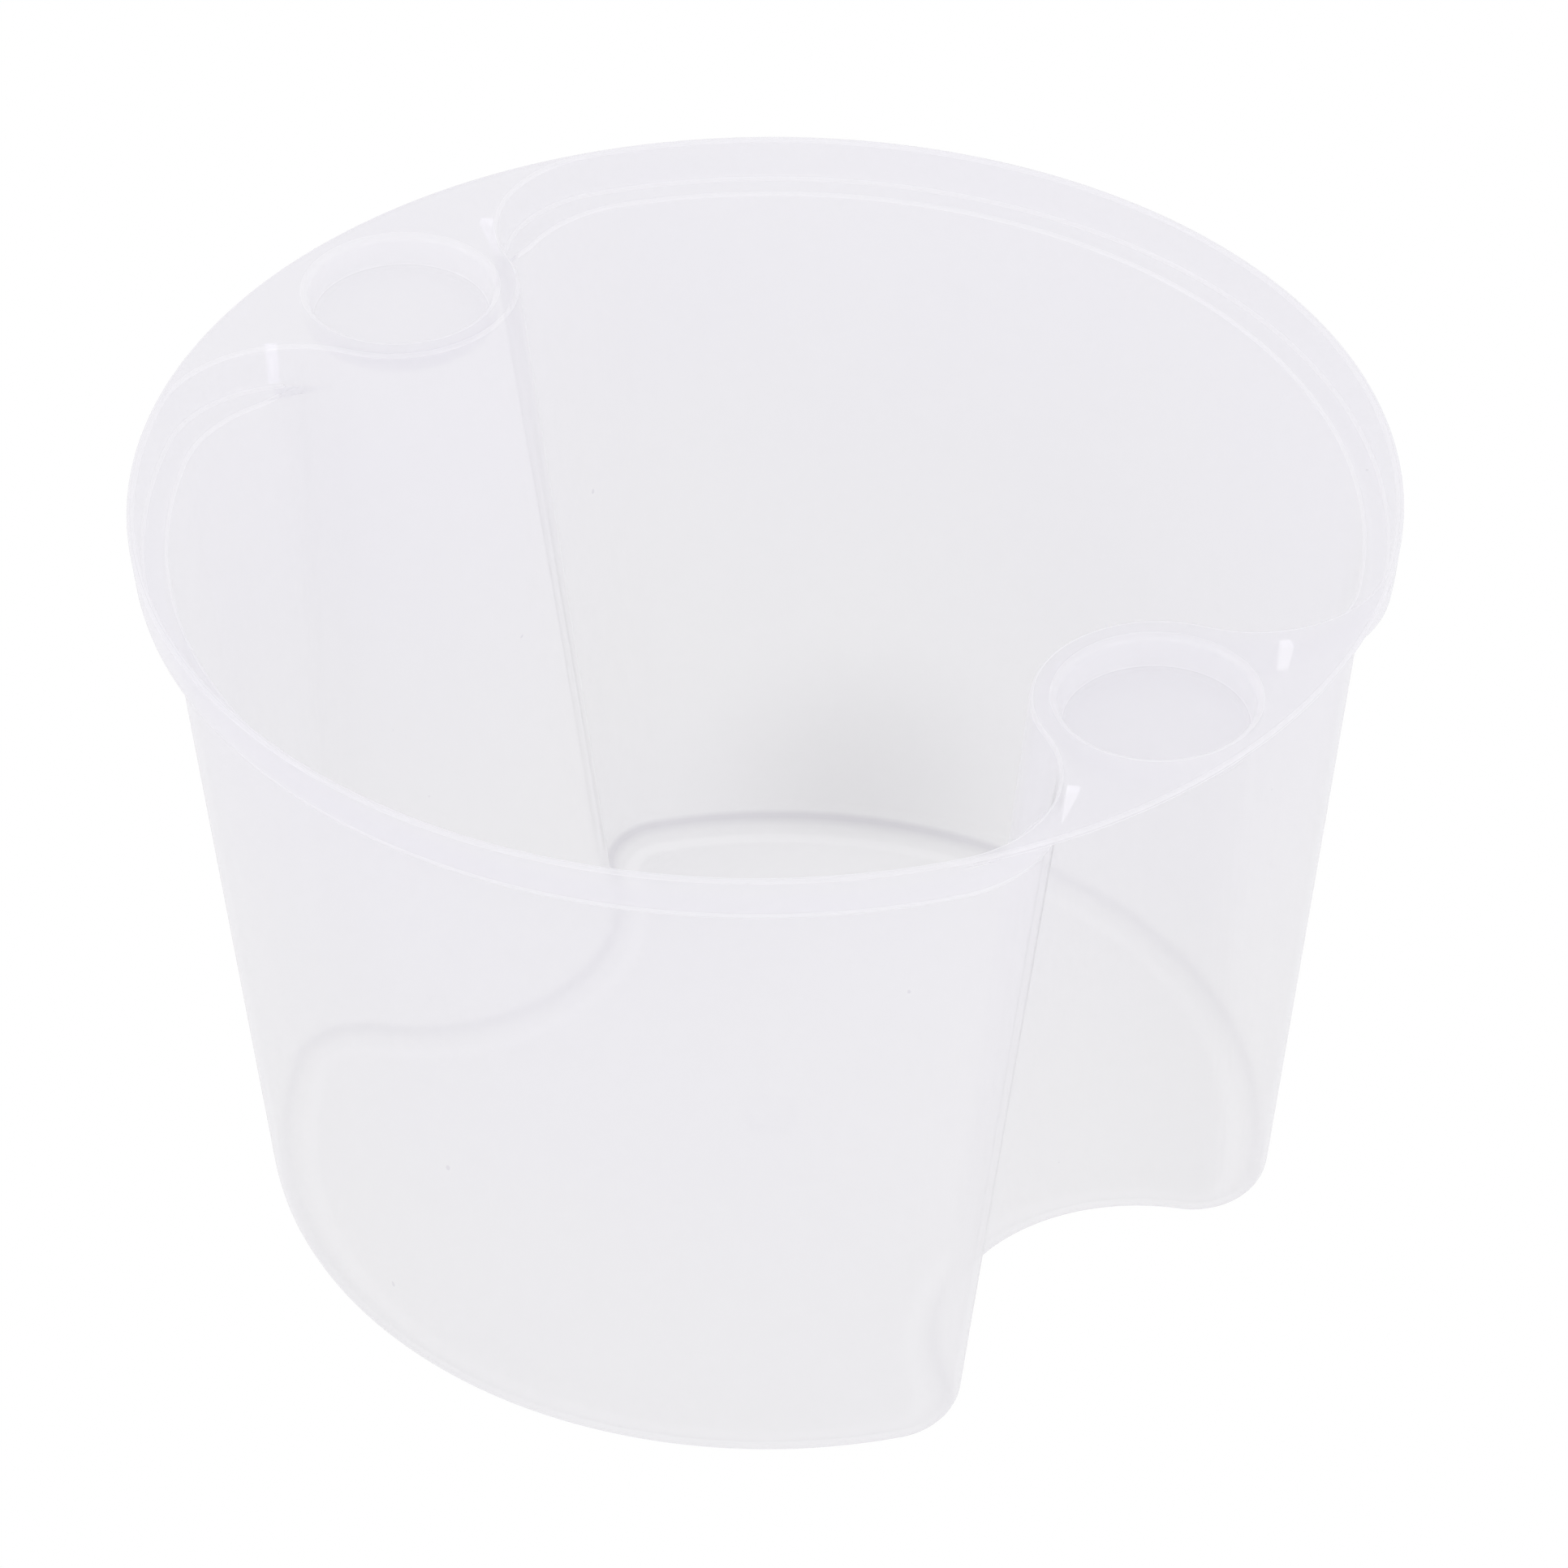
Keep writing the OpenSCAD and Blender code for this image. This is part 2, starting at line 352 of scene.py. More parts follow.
class Workbench:
    """One mesh object in edit mode, with the few hand tools that the skin is made with."""

    def __init__(self, name: str) -> None:
        """Starts an empty mesh object in edit mode.

        Args:
            name: Name of the object and its mesh.
        """
        bpy.ops.object.select_all(action="DESELECT")
        bpy.ops.mesh.primitive_plane_add(size=MM)
        self.obj = bpy.context.object
        self.obj.name = self.obj.data.name = name
        bpy.ops.object.mode_set(mode="EDIT")
        bpy.ops.mesh.delete(type="VERT")

    def mesh(self) -> bmesh.types.BMesh:
        """The mesh as it is being edited."""
        return bmesh.from_edit_mesh(self.obj.data)

    def draw(self, points: Iterable[Vector]) -> None:
        """Draws a line through points and leaves it selected.

        Args:
            points: The points in metres.
        """
        first, *rest = points
        bpy.ops.mesh.select_all(action="DESELECT")
        bpy.ops.mesh.primitive_circle_add(vertices=3, radius=MM, location=first)
        bpy.ops.mesh.merge(type="CENTER")
        here = first
        for there in rest:
            bpy.ops.mesh.extrude_region_move(TRANSFORM_OT_translate={"value": there - here})
            here = there
        bpy.ops.mesh.select_linked()

    def sweep(self, turns: Iterable[Turn]) -> None:
        """Spins the selected section along turns and welds the walk shut.

        Args:
            turns: The arcs to follow, one after another.
        """
        for turn in turns:
            bpy.ops.mesh.spin(
                steps=turn.steps,
                angle=-math.radians(turn.angle),
                center=(turn.centre[0] * MM, turn.centre[1] * MM, 0),
                axis=(0, 0, 1),
            )
        bpy.ops.mesh.select_linked()
        bpy.ops.mesh.remove_doubles(threshold=WELD)

    def ring(self, centre: Point, radius: float, z: float, count: int) -> None:
        """Adds a circle of edges and leaves it selected.

        Args:
            centre: Centre in millimetres.
            radius: Radius in millimetres.
            z: Height in millimetres.
            count: Number of points.
        """
        bpy.ops.mesh.select_all(action="DESELECT")
        bpy.ops.mesh.primitive_circle_add(
            vertices=count, radius=radius * MM, location=(centre[0] * MM, centre[1] * MM, z * MM)
        )

    def pull(self, centre: Point, rows: Iterable[Point], start: Point) -> None:
        """Extrudes the selected circle through further rows and closes it with a face.

        Args:
            centre: Centre of the circle in millimetres.
            rows: Radius and height of each further circle, in millimetres.
            start: Radius and height of the selected circle.
        """
        r0, z0 = start
        for r, z in rows:
            up = (0, 0, (z - z0) * MM)
            bpy.ops.mesh.extrude_region_move(TRANSFORM_OT_translate={"value": up})
            bpy.ops.transform.resize(
                value=(r / r0, r / r0, 1), center_override=(centre[0] * MM, centre[1] * MM, z * MM)
            )
            r0, z0 = r, z
        bpy.ops.mesh.edge_face_add()

    def pick_edges(self, test: EdgeTest) -> None:
        """Selects the edges that pass a test, and nothing else.

        Args:
            test: What an edge has to be.
        """
        bpy.ops.mesh.select_mode(type="EDGE")
        bpy.ops.mesh.select_all(action="DESELECT")
        bm = self.mesh()
        for e in [e for e in bm.edges if test(e)]:
            e.select_set(True)
        bmesh.update_edit_mesh(self.obj.data)

    def pick_rims(self, z: float, x_sign: int = 0) -> None:
        """Selects the open edges at one level.

        Args:
            z: The level in millimetres.
            x_sign: 1 or -1 for one side only, 0 for both.
        """

        def open_here(e: bmesh.types.BMEdge) -> bool:
            """True for an edge of this level with fewer than two faces."""
            level = all(abs(v.co.z / MM - z) < LEVEL for v in e.verts)
            return len(e.link_faces) < 2 and level and e.verts[0].co.x * x_sign >= 0

        self.pick_edges(open_here)

    def weld(self) -> None:
        """Merges what lies together and turns all faces outwards."""
        bpy.ops.mesh.select_mode(type="VERT")
        bpy.ops.mesh.select_all(action="SELECT")
        bpy.ops.mesh.remove_doubles(threshold=WELD)
        bpy.ops.mesh.dissolve_degenerate(threshold=FLAT)
        bpy.ops.mesh.select_all(action="SELECT")
        bpy.ops.mesh.normals_make_consistent(inside=False)

    def leave(self) -> bpy.types.Object:
        """Ends edit mode and hands the object over."""
        bpy.ops.object.mode_set(mode="OBJECT")
        return self.obj


@dataclass
class WallSkin:
    """Walls, foot, lid ledge and rim band: sections walked round the outline and joined."""

    sizes: TubSizes
    wall: Outline
    rim: Outline
    columns: Columns
    foot_steps: int = 7
    start_slack: float = 0.01

    def loop(
        self, bm: bmesh.types.BMesh, outline: Outline, u: float, z: float
    ) -> list[bmesh.types.BMVert]:
        """Finds the open edge of a walked section, in the order of its columns.

        Args:
            bm: The skin as it is being edited.
            outline: The outline that the section was walked round.
            u: Level distance of the edge inwards from the outline, in millimetres.
            z: Height of the edge, in millimetres.

        Returns:
            The edge's points, from the first column on.
        """
        here = []
        for v in bm.verts:
            x, y, level = v.co / MM
            if abs(level - z) < LEVEL and abs(outline.outward(x, y, u)) < LEVEL:
                turn = math.degrees(math.atan2(y, x)) - outline.lobe_a
                here.append(((turn + self.start_slack) % 360, v))
        return [v for _, v in sorted(here, key=lambda pair: pair[0])]

    def end_ledge(self, bench: Workbench) -> None:
        """Ends the ledge at the gussets: beyond them, draws the wall's top out to the rim band.

        Args:
            bench: Where the skin is made.
        """
        s, bm = self.sizes, bench.mesh()
        for wall_u, rim_u, z in (
            (s.wall_u, s.seat_rim_u, s.seat_z),
            (s.low_wall_u, s.low_rim_u, s.seat_low_z),
        ):
            low = self.loop(bm, self.wall, wall_u, z)
            high = self.loop(bm, self.rim, rim_u, z)
            for v, over in zip(low, high, strict=True):
                gap = abs(self.rim.outward(v.co.x / MM, v.co.y / MM, rim_u))
                if gap < s.ledge_full:
                    v.co = over.co.lerp(v.co, s.ledge_left(gap))
        bmesh.update_edit_mesh(bench.obj.data)

    def foot_arc(self, radius: float) -> list[Point]:
        """Gives the rounding of the foot in section, from the standing ring up to the wall.

        Args:
            radius: Radius of the rounding in millimetres.

        Returns:
            Offsets and heights in millimetres.
        """
        s, steps = self.sizes, self.foot_steps
        turns = [math.radians((90 - s.draft) * i / steps) for i in range(steps + 1)]
        return [(s.foot_u - radius * math.sin(a), s.foot_r - radius * math.cos(a)) for a in turns]

    def outer_section(self) -> list[Point]:
        """Outside of the main wall, from the floor panel out and up to the ledge."""
        s = self.sizes
        floor = [(s.slope_u, s.panel_z), (s.ring_u, 0.0)]
        return floor + self.foot_arc(s.foot_r) + [(s.low_wall_u, s.seat_low_z)]

    def inner_section(self) -> list[Point]:
        """Inside of the main wall, from the floor panel out and up to the ledge."""
        s = self.sizes
        floor = [(s.slope_u, s.panel_top), (s.ring_u, s.wall_t)]
        return floor + self.foot_arc(s.foot_r - s.wall_t) + [(s.wall_u, s.seat_z)]

    def rim_section(self) -> list[Point]:
        """Rim band, from its lower outer edge up over the lip and down to the ledge."""
        s = self.sizes
        return [
            (s.low_rim_u, s.seat_low_z),
            (s.lean * s.shelf_t, s.shelf_z),
            (0.0, s.body_h),
            (s.wall_u, s.body_h),
            (s.seat_rim_u, s.seat_z),
        ]

    def build(self, bench: Workbench) -> None:
        """Walks the three sections round and joins them at the ledge.

        Args:
            bench: Where the skin is made.
        """
        wall_turns = self.columns.wall_turns(self.wall)
        for section in (self.outer_section(), self.inner_section()):
            bench.draw(self.wall.start(u, z) for u, z in section)
            bench.sweep(wall_turns)
        bench.draw(self.rim.start(u, z) for u, z in self.rim_section())
        bench.sweep(self.columns.rim_turns(self.rim, self.wall))
        self.end_ledge(bench)
        bench.weld()
        for z in (self.sizes.seat_low_z, self.sizes.seat_z):
            bench.pick_rims(z)
            bpy.ops.mesh.fill()


@dataclass
class FloorPanel:
    """The raised floor inside the standing ring, with its gate mark."""

    sizes: TubSizes
    points: int = 48
    nub_share: float = 0.25

    def build(self, bench: Workbench) -> None:
        """Fills both faces of the floor round the gate mark.

        Args:
            bench: Where the skin is made.
        """
        s = self.sizes
        middle = (0.0, 0.0)
        nub = s.gate_r * self.nub_share
        low, top = s.panel_z + s.gate_step, s.panel_top + s.gate_step
        under = [(s.gate_r, low), (nub, low), (nub, s.panel_z)]
        for z, rows in ((s.panel_z, under), (s.panel_top, [(s.gate_r, top)])):
            bench.ring(middle, s.gate_r, z, self.points)
            bench.pull(middle, rows, (s.gate_r, z))
            bench.pick_rims(z)
            bpy.ops.mesh.fill()


@dataclass
class GripTop:
    """One grip's shelf and thumb cup, opened out of the rim band and closed again."""

    sizes: TubSizes
    rim: Outline
    side: Side
    rim_steps: int = 48
    cup_points: int = 72
    round_steps: int = 5
    slack: float = 0.1

    def open_lip(self, bench: Workbench) -> None:
        """Takes away the lip of the rim band along the grip.

        Args:
            bench: Where the skin is made.
        """
        s, sign = self.sizes, self.side.value
        bpy.ops.mesh.select_mode(type="FACE")
        bpy.ops.mesh.select_all(action="DESELECT")
        for f in bench.mesh().faces:
            c = f.calc_center_median() / MM
            turn = math.degrees(math.atan2(abs(c.y), c.x * sign))
            f.select_set(c.z > s.shelf_z + self.slack and turn < self.rim.lobe_a)
        bmesh.update_edit_mesh(bench.obj.data)
        bpy.ops.mesh.delete(type="FACE")

    def edge_round(self, bench: Workbench) -> None:
        """Carries the rim's outer edge on round the front of the shelf.

        Args:
            bench: Where the skin is made.
        """
        s, sign = self.sizes, self.side.value
        a = math.radians(self.rim.lobe_a)
        foot = Vector((s.rim_r * math.cos(a) * sign, s.rim_r * math.sin(a) * sign)) * MM

        def lip_end(e: bmesh.types.BMEdge) -> bool:
            """True for the upright edge at which the lobe's lip stops."""
            low, high = sorted(v.co.z / MM for v in e.verts)
            near = all((v.co.xy - foot).length < MM for v in e.verts)
            return near and low > s.shelf_z - self.slack and high - low > s.shelf_t / 2

        bench.pick_edges(lip_end)
        bench.sweep([Turn((0.0, 0.0), -2 * self.rim.lobe_a, self.rim_steps)])
        bench.weld()

    def cup_rows(self, grow: float) -> list[Point]:
        """Gives the section of the thumb cup below the shelf.

        Args:
            grow: 0 for the inside, or the wall's thickness for the outside.

        Returns:
            Radii and heights in millimetres, from the shelf down to the floor.
        """
        s, steps = self.sizes, self.round_steps
        low_r = s.cup_r - s.lean * (s.cup_depth - s.shelf_t) - s.cup_round
        low_z = s.body_h - s.cup_depth + s.cup_round
        bend = s.cup_round + grow
        turns = [math.radians(s.draft + (90 - s.draft) * i / steps) for i in range(steps + 1)]
        return [(low_r + bend * math.cos(a), low_z - bend * math.sin(a)) for a in turns]

    def build(self, bench: Workbench) -> None:
        """Opens the lip and makes shelf and thumb cup.

        Args:
            bench: Where the skin is made.
        """
        s, sign = self.sizes, self.side.value
        cup = (s.cup_x * sign, 0.0)
        self.open_lip(bench)
        self.edge_round(bench)
        inside = [(s.cup_r, s.shelf_z)] + self.cup_rows(0.0)
        for z, r, rows in (
            (s.body_h, s.cup_r, inside),
            (s.shelf_z, s.cup_r + s.wall_t, self.cup_rows(s.wall_t)),
        ):
            bench.ring(cup, r, z, self.cup_points)
            bench.pull(cup, rows, (r, z))
            bench.pick_rims(z, sign)
            bpy.ops.mesh.fill()


@dataclass
class EdgeRounding:
    """Small radii on the moulding's edges, as bevel weights and one bevel.

    Lengths are in millimetres, angles in degrees. The shares are of the ledge's width.
    """

    sizes: TubSizes
    wall: Outline
    rim: Outline
    width: float = 2.0
    lip: float = 0.55
    cup: float = 1.3
    ledge: float = 0.5
    shelf: float = 0.4
    gate: float = 0.35
    beside: float = 0.5
    run_out: float = 0.5
    band_share: float = 0.7
    wall_share: float = 0.2
    seat_share: float = 0.3
    shelf_fade: float = 2.0
    smallest: float = 0.06
    sharp: float = 35.0
    smooth: float = 32.0
    segments: int = 6

    def ledge_at(self, x: float, y: float, wall_u: float, rim_u: float) -> float:
        """Measures the ledge at a place on either of its edges.

        Args:
            x: Place along X, in millimetres.
            y: Place along Y, in millimetres.
            wall_u: Offset of the ledge's edge on the wall's outline.
            rim_u: Offset of the ledge's edge on the rim band's outline.

        Returns:
            The width that is left of it, in millimetres.
        """
        gap = abs(self.wall.outward(x, y, wall_u)) + abs(self.rim.outward(x, y, rim_u))
        return gap * self.sizes.ledge_left(gap)

    def radius(self, p: Vector) -> float:
        """Chooses the rounding of a sharp edge by its place.

        Args:
            p: Middle of the edge, in millimetres.

        Returns:
            The rounding in millimetres, 0 for none.
        """
        s = self.sizes
        if abs(p.z - s.body_h) < EDGE_LEVEL:
            from_cup = math.hypot(abs(p.x) - s.cup_x, p.y)
            return self.cup if from_cup < s.cup_r + self.beside else self.lip
        if abs(p.z - s.shelf_z) < EDGE_LEVEL:
            turn = math.degrees(math.atan2(abs(p.y), abs(p.x)))
            return self.shelf * min(1.0, max(0.0, self.rim.lobe_a - turn) / self.shelf_fade)
        if abs(p.z - s.seat_low_z) < EDGE_LEVEL:
            gap = self.ledge_at(p.x, p.y, s.low_wall_u, s.low_rim_u)
            if abs(self.rim.outward(p.x, p.y, s.low_rim_u)) < gap / 2:
                size = min(self.width, self.band_share * gap)
            else:
                size = min(self.ledge, self.wall_share * gap)
            return size * min(1.0, max(0.0, gap - self.run_out))
        if abs(p.z - s.seat_z) < EDGE_LEVEL:
            gap = self.ledge_at(p.x, p.y, s.wall_u, s.seat_rim_u)
            size = min(self.ledge, self.seat_share * gap)
            return size * min(1.0, max(0.0, gap - self.run_out))
        return self.gate if math.hypot(p.x, p.y) < s.gate_r + self.beside else 0.0

    def build(self, bench: Workbench) -> None:
        """Weighs the sharp edges.

        Args:
            bench: Where the skin is made.
        """
        bm = bench.mesh()
        weight = bm.edges.layers.float.new("bevel_weight_edge")
        for e in bm.edges:
            if len(e.link_faces) == 2 and e.calc_face_angle() > math.radians(self.sharp):
                middle = (e.verts[0].co + e.verts[1].co) / 2 / MM
                size = self.radius(middle)
                e[weight] = size / self.width if size > self.smallest else 0.0
        bmesh.update_edit_mesh(bench.obj.data)

    def finish(self, obj: bpy.types.Object) -> None:
        """Rounds the weighed edges and evens the shading.

        Args:
            obj: The skin, in object mode.
        """
        bevel = obj.modifiers.new("edge_rounding", "BEVEL")
        bevel.limit_method = "WEIGHT"
        bevel.width = self.width * MM
        bevel.segments = self.segments
        bevel.use_clamp_overlap = False
        # The rounded faces take the edge finish, with its painted glow.
        bevel.material = Finish.EDGE.value
        bpy.ops.object.modifier_apply(modifier=bevel.name)
        bpy.ops.object.shade_smooth_by_angle(angle=math.radians(self.smooth))
        even = obj.modifiers.new("even_shading", "WEIGHTED_NORMAL")
        even.keep_sharp = True
        bpy.ops.object.modifier_apply(modifier=even.name)


@dataclass
class GroupNodes:
    """Adds the nodes of a shader group and links them as they come."""

    group: bpy.types.NodeTree
    place: bpy.types.NodeSocket

    def put(self, value: Feed, socket: bpy.types.NodeSocket) -> None:
        """Links a socket to an input, or sets the input to a plain value.

        Args:
            value: What goes in.
            socket: The input.
        """
        if isinstance(value, bpy.types.NodeSocket):
            self.group.links.new(value, socket)
        else:
            socket.default_value = value

    def noise(self, scale: float, detail: float) -> bpy.types.NodeSocket:
        """Adds a noise over the surface.

        Args:
            scale: Its scale, for metres.
            detail: Its octaves.

        Returns:
            Its value.
        """
        node = self.group.nodes.new("ShaderNodeTexNoise")
        node.inputs["Scale"].default_value = scale
        node.inputs["Detail"].default_value = detail
        self.put(self.place, node.inputs["Vector"])
        return node.outputs["Fac"]

    def mapped(self, value: bpy.types.NodeSocket, ends: Point) -> bpy.types.NodeSocket:
        """Stretches a value to the range from 0 to 1.

        Args:
            value: The value.
            ends: What becomes 0 and what becomes 1.

        Returns:
            The stretched value.
        """
        node = self.group.nodes.new("ShaderNodeMapRange")
        node.inputs["From Min"].default_value, node.inputs["From Max"].default_value = ends
        self.put(value, node.inputs["Value"])
        return node.outputs["Result"]

    def math(self, kind: str, *values: Feed) -> bpy.types.NodeSocket:
        """Joins values by one kind of math.

        Args:
            kind: The kind, as Blender names it.
            values: What is joined.

        Returns:
            The result.
        """
        node = self.group.nodes.new("ShaderNodeMath")
        node.operation = kind
        for value, socket in zip(values, node.inputs):
            self.put(value, socket)
        return node.outputs["Value"]

    def height(self, source: bpy.types.NodeSocket) -> bpy.types.NodeSocket:
        """Takes the third part of a vector.

        Args:
            source: The vector.

        Returns:
            Its part along Z.
        """
        node = self.group.nodes.new("ShaderNodeSeparateXYZ")
        self.put(source, node.inputs[0])
        return node.outputs["Z"]

    def mixed(
        self, kind: str, share: bpy.types.NodeSocket, first: Feed, second: Feed
    ) -> bpy.types.NodeSocket:
        """Mixes two colours.

        Args:
            kind: The kind of mix, as Blender names it.
            share: How much of the second colour is taken.
            first: The first colour.
            second: The second colour.

        Returns:
            The mixed colour.
        """
        node = self.group.nodes.new("ShaderNodeMix")
        node.data_type, node.blend_type = "RGBA", kind
        self.put(share, node.inputs["Factor"])
        self.put(first, node.inputs["A"])
        self.put(second, node.inputs["B"])
        return node.outputs["Result"]


@dataclass(frozen=True)
class MouldedHaze:
    """Node group: the flow clouds, dust specks and peel of a moulded milky plastic, and a painted
    shade line along its foot.

    A noise is its scale, for metres, and its octaves. A range says what becomes 0 and what
    becomes 1. Heights are in millimetres.
    """

    name: str = "moulded_haze_and_foot_shade"
    flow_noise: Point = (14.0, 3.0)
    flow_range: Point = (0.35, 0.65)
    speck_noise: Point = (420.0, 0.0)
    speck_range: Point = (0.9, 0.92)
    speck_tint: Colour = (0.84, 0.84, 0.86)
    grain_noise: Point = (60.0, 4.0)
    grain_range: Point = (0.3, 0.7)
    peel_noise: Point = (260.0, 2.0)
    upper_heights: Point = (38.0, 112.0)
    upper_share: float = 0.75
    # Painted shade along the foot: low down, where the wall turns under, the tint darkens.
    foot_shade_peak: float = 0.75
    foot_shade_range: Point = (0.52, 0.7)
    foot_shade_heights: Point = (12.0, 7.0)
    foot_shade_tint: Colour = (0.5, 0.48, 0.56)

    def sockets(self, group: bpy.types.NodeTree) -> None:
        """Gives the group its inputs and outputs.

        Args:
            group: The group.
        """
        colour, value = "NodeSocketColor", "NodeSocketFloat"
        inputs = {"Base": colour, "Upper": colour}
        # Foot takes the strength of the painted shade along the foot.
        inputs |= dict.fromkeys(("Roughness", "Spread", "Milk", "Cloud", "Foot"), value)
        outputs = {"Tint": colour, "Roughness": value, "Milk": value, "Height": value}
        for side, names in (("INPUT", inputs), ("OUTPUT", outputs)):
            for name, kind in names.items():
                group.interface.new_socket(name, in_out=side, socket_type=kind)

    def make(self) -> bpy.types.NodeTree:
        """Builds the group once.

        Returns:
            The group, with Tint, Roughness, Milk and Height outputs.
        """
        group = bpy.data.node_groups.new(self.name, "ShaderNodeTree")
        self.sockets(group)
        give, take = group.nodes.new("NodeGroupInput"), group.nodes.new("NodeGroupOutput")
        space = group.nodes.new("ShaderNodeTexCoord")
        place = space.outputs["Object"]
        add = GroupNodes(group, place)
        flow = add.mapped(add.noise(*self.flow_noise), self.flow_range)
        speck = add.mapped(add.noise(*self.speck_noise), self.speck_range)
        grain = add.mapped(add.noise(*self.grain_noise), self.grain_range)
        low, high = self.upper_heights
        rise = add.mapped(add.height(place), (low * MM, high * MM))
        cloud = add.math("MULTIPLY", flow, 1 - self.upper_share)
        upper = add.math("MULTIPLY_ADD", rise, self.upper_share, cloud)
        # Painted shade: darkens the tint where the wall turns under at the foot, low down.
        steep = add.math("ABSOLUTE", add.height(space.outputs["Normal"]))
        turn = add.mapped(add.math("PINGPONG", steep, self.foot_shade_peak), self.foot_shade_range)
        low, high = self.foot_shade_heights
        foot = add.math("MULTIPLY", turn, add.mapped(add.height(place), (low * MM, high * MM)))
        shade = add.math("MULTIPLY", foot, give.outputs["Foot"])
        tint = add.mixed("MIX", upper, give.outputs["Base"], give.outputs["Upper"])
        tint = add.mixed("MULTIPLY", speck, tint, (*self.speck_tint, 1.0))
        tint = add.mixed("MULTIPLY", shade, tint, (*self.foot_shade_tint, 1.0))
        add.put(tint, take.inputs["Tint"])
        for value, spread, name in ((grain, "Spread", "Roughness"), (flow, "Cloud", "Milk")):
            varied = add.math("MULTIPLY_ADD", value, give.outputs[spread], give.outputs[name])
            add.put(varied, take.inputs[name])
        add.put(add.noise(*self.peel_noise), take.inputs["Height"])
        return group


@dataclass(frozen=True)
class MilkyPlastic:
    """Finish of natural, unpigmented polypropylene with a fine frost, a painted shade along the
    foot and, where glow is set, a painted glow.
    """

    name: str
    base: Colour
    upper: Colour
    milk: float
    # Strength of the painted glow, given off in the tint's colour.
    glow: float = 0.0
    sheen: float = 1.0
    sheen_roughness: float = 0.3
    grazing_from: float = 0.7
    grazing_milk: float = 0.15
    cloud: float = 0.04
    roughness: float = 0.13
    spread: float = 0.05
    peel: float = 0.02
    peel_depth: float = 0.2
    # Strength of the painted shade along the foot.
    foot: float = 0.42
    ior: float = 1.49

    def cover(
        self, tree: bpy.types.NodeTree, milk: bpy.types.NodeSocket, alpha: bpy.types.NodeSocket
    ) -> None:
        """Makes the milky layer hide more of the view at grazing angles.

        Args:
            tree: Tree of the material.
            milk: How much the layer hides when seen straight on.
            alpha: The input that takes the whole.
        """
        nodes, links = tree.nodes, tree.links
        turned, thick = nodes.new("ShaderNodeLayerWeight"), nodes.new("ShaderNodeMapRange")
        whole = nodes.new("ShaderNodeMath")
        thick.interpolation_type, whole.operation = "SMOOTHSTEP", "ADD"
        thick.inputs["From Min"].default_value = self.grazing_from
        thick.inputs["To Max"].default_value = self.grazing_milk
        links.new(turned.outputs["Facing"], thick.inputs["Value"])
        links.new(thick.outputs["Result"], whole.inputs[0])
        links.new(milk, whole.inputs[1])
        links.new(whole.outputs["Value"], alpha)

    def make(self, haze: bpy.types.NodeTree) -> bpy.types.Material:
        """Builds the material.

        Args:
            haze: The moulded haze group.

        Returns:
            The material.
        """
        material = bpy.data.materials.new(self.name)
        material.use_nodes = True
        nodes, links = material.node_tree.nodes, material.node_tree.links
        shader = nodes["Principled BSDF"]
        group = nodes.new("ShaderNodeGroup")
        group.node_tree = haze
        group.inputs["Base"].default_value = (*self.base, 1.0)
        group.inputs["Upper"].default_value = (*self.upper, 1.0)
        for name in ("Roughness", "Spread", "Milk", "Cloud", "Foot"):
            group.inputs[name].default_value = getattr(self, name.lower())
        bump = nodes.new("ShaderNodeBump")
        bump.inputs["Strength"].default_value = self.peel
        bump.inputs["Distance"].default_value = self.peel_depth * MM
        links.new(group.outputs["Height"], bump.inputs["Height"])
        links.new(bump.outputs["Normal"], shader.inputs["Normal"])
        for name, socket in (
            ("Tint", "Base Color"),
            ("Tint", "Emission Color"),
            ("Roughness", "Roughness"),
        ):
            links.new(group.outputs[name], shader.inputs[socket])
        self.cover(material.node_tree, group.outputs["Milk"], shader.inputs["Alpha"])
        # Painted glow: the surface gives off its tint as light.
        shader.inputs["Emission Strength"].default_value = self.glow
        shader.inputs["Sheen Weight"].default_value = self.sheen
        shader.inputs["Sheen Roughness"].default_value = self.sheen_roughness
        shader.inputs["IOR"].default_value = self.ior
        return material


